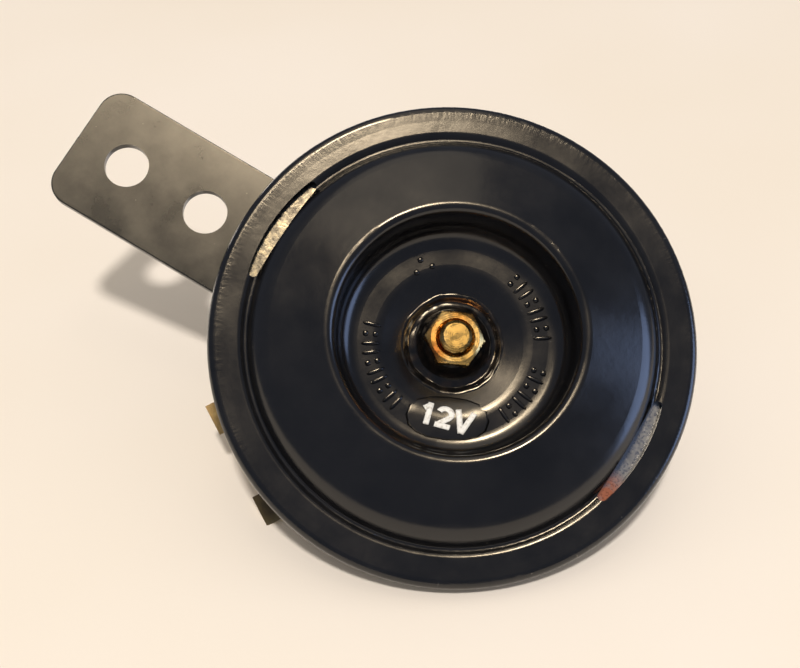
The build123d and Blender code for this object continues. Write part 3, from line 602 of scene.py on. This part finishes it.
def well_floor(r):
    """Height in mm: a rising arc of 4 mm past the foot, flat, a falling arc of 5 mm, then the dish's slope."""
    rising = FLOOR_W + FOOT_BEND - np.sqrt(np.clip(FOOT_BEND**2 - (r - FOOT_R) ** 2, 0.01, None))
    falling = FLOOR_W - DISH_BEND + np.sqrt(np.clip(DISH_BEND**2 - (DISH_START_R - r) ** 2, 0.01, None))
    slope = DISH_SLOPE_W - DISH_FALL * (DISH_SLOPE_R - r)
    return np.select([r > FOOT_R, r > DISH_START_R, r > DISH_SLOPE_R], [rising, FLOOR_W, falling], slope)


print("floor at 11, 14, 17 and 20 mm:", well_floor(np.array([11.0, 14.0, 17.0, 20.0])).round(2))

# %% [markdown]
# ## Raised marks in the floor
# The press leaves low marks round the floor. These are plain bars and dots, and say nothing. Each
# is a rounded box: a ball whose sines and cosines are raised to a small power, which squares it
# up. Half of it is sunk in the floor, so its foot never shows. All of them are one mesh, made in
# one go by adding a mark's own place to a shared grid. The pad under the printed voltage is one
# more such box, wide and very low.

# %% Bars and dots
MARK_ROWS, MARK_COLUMNS = 9, 16


def signed_power(wave, power):
    """The size of a sine or cosine raised to a power, with its sign kept."""
    return np.sign(wave) * np.abs(wave) ** power


def rounded_boxes(name, marks, power):
    """Half sizes times signed powers of sine and cosine, laid on the floor at each mark's radius and clock."""
    up = np.linspace(-np.pi / 2, np.pi / 2, MARK_ROWS)
    way = np.linspace(-np.pi, np.pi, MARK_COLUMNS, endpoint=False)
    up, way = [part.reshape(1, -1) for part in np.meshgrid(up, way, indexing="ij")]
    girth, lift = signed_power(np.cos(up), power), signed_power(np.sin(up), power)
    r, clock, half_out, half_across, half_high = np.asarray(marks, float).T[:, :, None]
    clock = np.radians(clock)
    out = r + half_out * girth * signed_power(np.cos(way), power)
    across = half_across * girth * signed_power(np.sin(way), power)
    u = out * np.cos(clock) - across * np.sin(clock)
    v = out * np.sin(clock) + across * np.cos(clock)
    one = grid_faces(MARK_ROWS, MARK_COLUMNS, False, True)
    every = (one[None] + np.arange(len(marks))[:, None, None] * MARK_ROWS * MARK_COLUMNS).reshape(-1, 4)
    made = new_mesh(name, place(u, v, well_floor(np.hypot(u, v)) + half_high * lift), every)
    weld = made.modifiers.new("close_poles", "WELD")
    weld.merge_threshold = 0.000002
    made.data.materials.append(cover_enamel)
    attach(made, "root")
    return made


# Clocks in degrees, all turned back together by MARK_TURN.
MARK_HALF_HIGH = 0.42
MARK_TURN = 59.0
BAR_CLOCKS = (3, 16, 22, 35, 41, 168, 181, 187, 200, 206, 219, 225, 302, 315, 321, 334)
INNER_DOT_CLOCKS = (9.5, 28.5, 47.5, 107, 119, 174.5, 193.5, 212.5, 308.5, 327.5, 340)
OUTER_DOT_CLOCKS = (9.5, 28.5, 47.5, 113, 174.5, 193.5, 212.5, 308.5, 327.5, 340)
PRESS_OFF_U, PRESS_OFF_V = 0.7 * cos(radians(-59)), 0.7 * sin(radians(-59))

rows_of_marks = [(16.5, clock, 1.8, 0.40) for clock in BAR_CLOCKS]
rows_of_marks += [(15.6, clock, 0.55, 0.55) for clock in INNER_DOT_CLOCKS]
rows_of_marks += [(17.5, clock, 0.55, 0.55) for clock in OUTER_DOT_CLOCKS]
marks = []
for r, clock, half_out, half_across in rows_of_marks:
    # The press stands a little off the axis, so each mark moves by the same small step.
    off_u = r * cos(radians(clock - MARK_TURN)) + PRESS_OFF_U
    off_v = r * sin(radians(clock - MARK_TURN)) + PRESS_OFF_V
    marks.append((sqrt(off_u**2 + off_v**2), degrees(atan2(off_v, off_u)), half_out, half_across, MARK_HALF_HIGH))
floor_marks = rounded_boxes("floor_marks", marks, 0.75)
rating_pad = rounded_boxes("rating_pad", [(14.6, -154.0, 4.3, 8.0, 0.11)], 0.85)
print("marks:", len(marks))

# %% [markdown]
# ## The printed voltage
# The voltage is pad-printed in white ink over the enamel, so it is a film a few hundredths of a
# millimetre thick that follows the floor and its pad. Each figure is a few broad pen strokes: a
# line or an arc in the plane, widened to both sides by half the pen's width. The ribbons are then
# laid at the floor's height, point by point. White ink on gloss is a little uneven, so its tone
# is broken by a fine noise.

# %% Printed rating
RATING_SPOT = (-13.2, -6.45)
BASELINE_CLOCK, UPRIGHT_CLOCK = radians(-74.0), radians(14.5)
CAP_MM = 4.4
WIDE_MM = 4.85
MIDDLE = (0.98, 0.5)
PEN = 0.115
RATING_LIFT = 0.19
STROKE_STEP = 0.012


def line(start, end):
    """Evenly spaced points from one end to the other."""
    return np.linspace(start, end, 14)


bow = np.linspace(radians(165), radians(-50), 26)
bow = np.stack([0.32 + 0.25 * np.cos(bow), 0.655 + 0.235 * np.sin(bow)], axis=-1)
strokes = [
    line((0.22, 0.0), (0.22, 1.0)),
    line((0.0, 0.68), (0.24, 0.90)),
    np.vstack([bow, line(bow[-1], (0.10, PEN * 0.9))]) + (0.53, 0),
    line((0.54, PEN), (1.16, PEN)),
    line((1.30, 1.0), (1.62, 0.0)),
    line((1.94, 1.0), (1.62, 0.0)),
    line((1.62 - PEN, PEN * 0.9), (1.62 + PEN, PEN * 0.9)),
]


def ribbon(path):
    """A pen stroke's grid: the path moved square to its own direction, by up to the pen's half width each way."""
    way = np.gradient(path, axis=0)
    side = np.stack([-way[:, 1], way[:, 0]], axis=-1) / np.linalg.norm(way, axis=1)[:, None]
    return path[:, None, :] + side[:, None, :] * np.linspace(PEN, -PEN, 4)[None, :, None]


points, quads, lifts, start = [], [], [], 0
for number, path in enumerate(strokes):
    grid = ribbon(path)
    rows, columns = grid.shape[:2]
    quads.append(start + grid_faces(rows, columns, False, False))
    points.append(grid.reshape(-1, 2))
    lifts.append(np.full(rows * columns, RATING_LIFT + number * STROKE_STEP))
    start += rows * columns
points = (np.concatenate(points) - MIDDLE) * (WIDE_MM, CAP_MM)
u = RATING_SPOT[0] + points[:, 0] * cos(BASELINE_CLOCK) + points[:, 1] * cos(UPRIGHT_CLOCK)
v = RATING_SPOT[1] + points[:, 0] * sin(BASELINE_CLOCK) + points[:, 1] * sin(UPRIGHT_CLOCK)
height = well_floor(np.hypot(u, v)) + np.concatenate(lifts)
rating = new_mesh("rating_print", place(u, v, height), np.concatenate(quads))
film = rating.modifiers.new("film", "SOLIDIFY")
film.thickness, film.offset = 0.00008, 0.0
ink, tree, shader = finish("white_pad_print_ink")
speckle = add(tree, "TexNoise", Vector=on_axis(tree), Scale=1 / 0.5, Detail=3.0).outputs[0]
tone = blend_tones(tree, band(tree, speckle, 0.3, 0.6), "#c9c4bb", "#efece6", "#f6f4ef")
tree.links.new(tone, shader.inputs["Base Color"])
tree.links.new(band(tree, speckle, 0.3, 0.7, 0.42, 0.6), shader.inputs["Roughness"])
raised = add(tree, "Bump", Strength=1.0, Distance=0.00001, Height=speckle)
tree.links.new(raised.outputs[0], shader.inputs["Normal"])
rating.data.materials.append(ink)
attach(rating, "root")
print("print:", len(rating.data.polygons), "faces, length mm:", round(float(np.ptp(points[:, 0])), 1))

# %% [markdown]
# ## Sealing lacquer round the nut
# Once the horn is tuned, the nut's seat is flooded with black lacquer. It creeps up the nut's
# flats, sags into the gap round the washer and climbs the lip of the cover's hole, so its top is
# hollow and catches a string of small lights. It is a closed ring: its top follows a few knots
# from the nut to the lip, and the height and the outer edge wander round the clock as sine waves
# of different counts.

# %% Lacquer ring
LACQUER_KNOTS = ((4.9, -1.1), (5.3, -1.5), (5.8, -2.9), (6.2, -4.4), (6.8, -5.3), (7.7, -5.75))
LACQUER_KNOTS += ((8.4, -5.85), (9.0, -5.5), (9.5, -5.27), (10.0, -5.27), (10.4, -5.6))
LACQUER_FOOT = -6.9
LACQUER_STEPS, LACQUER_ROUND = 30, 200

knot_r, knot_w = np.array(LACQUER_KNOTS).T
share = np.linspace(0, 1, LACQUER_STEPS)
top_r = knot_r[0] + share * (knot_r[-1] - knot_r[0])
top_w = np.interp(top_r, knot_r, knot_w)
top_w[1:-1] = (top_w[:-2] + 2 * top_w[1:-1] + top_w[2:]) / 4
section_r = np.concatenate([top_r, top_r[::-1]])
section_w = np.concatenate([top_w, np.full(LACQUER_STEPS, LACQUER_FOOT)])
onto_top = np.concatenate([np.sin(np.pi * share), np.zeros(LACQUER_STEPS)])
outwards = (section_r - knot_r[0]) / (knot_r[-1] - knot_r[0])
clock = np.linspace(0, 2 * np.pi, LACQUER_ROUND, endpoint=False)[:, None]
edge = 0.16 * np.sin(3 * clock + 1.2) + 0.12 * np.sin(7 * clock + 2.0) + 0.06 * np.sin(17 * clock)
sag = 0.12 * np.sin(2 * clock + 0.5) + 0.06 * np.sin(6 * clock + 0.4) + 0.05 * np.sin(13 * clock + 1.9)
ring_r = section_r + outwards**2 * edge
ring_w = section_w + onto_top * sag * (0.4 + 0.6 * np.sin(2.5 * outwards * np.pi + 3 * clock))
ring_points = place(ring_r * np.cos(clock), ring_r * np.sin(clock), ring_w)
seat_lacquer = new_mesh("seat_lacquer", ring_points, grid_faces(*ring_r.shape, True, True))

lacquer, tree, shader = finish("black_sealing_lacquer")
spot = on_axis(tree)
runs = add(tree, "TexNoise", Vector=spot, Scale=1 / 1.9, Detail=1.5).outputs[0]
tone = blend_tones(tree, band(tree, runs, 0.35, 0.65), "#0b0a0a", "#100e0d", "#1a130f")
tree.links.new(tone, shader.inputs["Base Color"])
tree.links.new(band(tree, runs, 0.3, 0.7, 0.10, 0.24), shader.inputs["Roughness"])
raised = add(tree, "Bump", Strength=1.0, Distance=0.00006, Height=runs)
tree.links.new(raised.outputs[0], shader.inputs["Normal"])
seat_lacquer.data.materials.append(lacquer)
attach(seat_lacquer, "root")
print("lacquer reaches r", round(float(ring_r.max()), 2), "and w", round(float(ring_w.max()), 2))

# %% [markdown]
# ## The paper
# The horn lies on warm white uncoated paper, which is matt and has a fine tooth. Its front is
# plain paper, and its back is clear, so that the horn can be seen from behind: the geometry's
# Backfacing value picks between the two. It lets the lamps behind it through as well.

# %% Paper
paper, tree, shader = finish("matt_cotton_paper")
spot = on_axis(tree)
fibre = add(tree, "TexNoise", Vector=spot, Scale=1 / 0.8, Detail=4.0).outputs[0]
tint = add(tree, "TexNoise", Vector=spot, Scale=1 / 90, Detail=2.0).outputs[0]
tree.links.new(blend_tones(tree, band(tree, tint, 0.3, 0.7), "#f3e8da", "#f6ece1"), shader.inputs["Base Color"])
shader.inputs["Roughness"].default_value = 0.8
tree.links.new(add(tree, "Bump", Strength=1.0, Distance=0.00002, Height=fibre).outputs[0], shader.inputs["Normal"])
clear = add(tree, "BsdfTransparent")
from_behind = add(tree, "NewGeometry").outputs["Backfacing"]
to_lamp = add(tree, "LightPath").outputs["Is Shadow Ray"]
away = add(tree, "Math", {"operation": "MAXIMUM"}, _0=from_behind, _1=to_lamp).outputs[0]
shown = add(tree, "MixShader", Fac=away, _1=shader.outputs[0], _2=clear.outputs[0])
tree.links.new(shown.outputs[0], tree.nodes["Material Output"].inputs["Surface"])
floor.data.materials.append(paper)
print("paper lies", round(rest_depth, 1), "mm under the middle of the face")

# %% [markdown]
# ## The light
# One small lamp above throws the one clear shadow, and the bright room fills it. In a black glossy
# thing the eye sees mostly the room: the warm ceiling lamp, a cool window to the right and dark
# walls. So the small lamp only lights, and panels that only reflections see stand in for what the
# gloss shows. Two more lamps behind the paper light the horn's back.

# %% Light
ROOM_LIGHT = 0.50
ROOM_SEEN_IN_GLOSS = 0.30

world = bpy.data.worlds.new("room")
bpy.context.scene.world = world
world.use_nodes = True
tree = world.node_tree
rays = add(tree, "LightPath")
room = add(tree, "Background", Color=linear("#fbf5ec"), Strength=ROOM_LIGHT)
walls = add(tree, "Background", Color=linear("#bfcae4"), Strength=ROOM_SEEN_IN_GLOSS)
pale = add(tree, "Background", Color=linear("#f4efe8"), Strength=1.0)
lit = add(tree, "MixShader", Fac=rays.outputs["Is Glossy Ray"], _1=room.outputs[0], _2=walls.outputs[0])
seen = add(tree, "MixShader", Fac=rays.outputs["Is Camera Ray"], _1=lit.outputs[0], _2=pale.outputs[0])
tree.links.new(seen.outputs[0], tree.nodes["World Output"].inputs["Surface"])


def lamp(name, way, distance, size, power, code, gloss_only=False, lights_only=False):
    """A round or oblong lamp that far from the horn in this direction of the picture, aimed at the horn."""
    data = bpy.data.lights.new(name, "AREA")
    data.shape, data.size, data.size_y, data.energy = "ELLIPSE", size[0], size[1], power
    data.color = linear(code)[:3]
    made_lamp = bpy.data.objects.new(name, data)
    bpy.context.scene.collection.objects.link(made_lamp)
    made_lamp.visible_camera = False
    made_lamp.visible_glossy = not lights_only
    made_lamp.visible_diffuse = not gloss_only
    way = from_camera(*way)
    aimed = way.to_track_quat("Z", "Y").to_matrix().to_4x4()
    made_lamp.matrix_world = Matrix.Translation(Vector(place(0, 0, 0)) + way * distance) @ aimed


lamp("shadow_lamp", (-0.02, 0.37, 0.93), 2.4, (0.20, 0.20), 40.5, "#fffaf4", lights_only=True)
lamp("ceiling_lamp", (0.012, 0.669, 0.743), 0.8, (0.17, 0.17), 6.2, "#ffe6c0", gloss_only=True)
lamp("wall_lamp", (-0.26, 0.644, 0.719), 0.8, (0.16, 0.16), 1.3, "#ffe6c0", gloss_only=True)
lamp("ceiling_glow", (-0.10, 0.90, 0.42), 0.9, (0.9, 0.6), 1.1, "#f4e3c8", gloss_only=True)
lamp("window", (0.94, 0.03, 0.30), 0.9, (0.5, 0.7), 3.6, "#a9c2f5", gloss_only=True)
lamp("back_left", (-0.62, 0.30, -0.72), 0.9, (0.5, 0.5), 9.0, "#fff6ea")
lamp("back_right", (0.60, -0.20, -0.77), 0.9, (0.6, 0.6), 7.0, "#eef2ff")
print("lamps:", len(bpy.data.lights))

# %% [markdown]
# ## Sizes
# The added pieces follow the solids, so the dressed horn may not grow past them. Both boxes are
# measured, and how far the dressed horn reaches past the solids is printed.

# %% Sizes, and the end
bpy.context.scene.view_settings.view_transform = "Standard"
shown_box = [list(corner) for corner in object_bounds()]
grown = np.array([np.subtract(cad_box[0], shown_box[0]), np.subtract(shown_box[1], cad_box[1])])
print("grows past the solids by mm:", round(1000 * max(float(grown.max()), 0), 3))
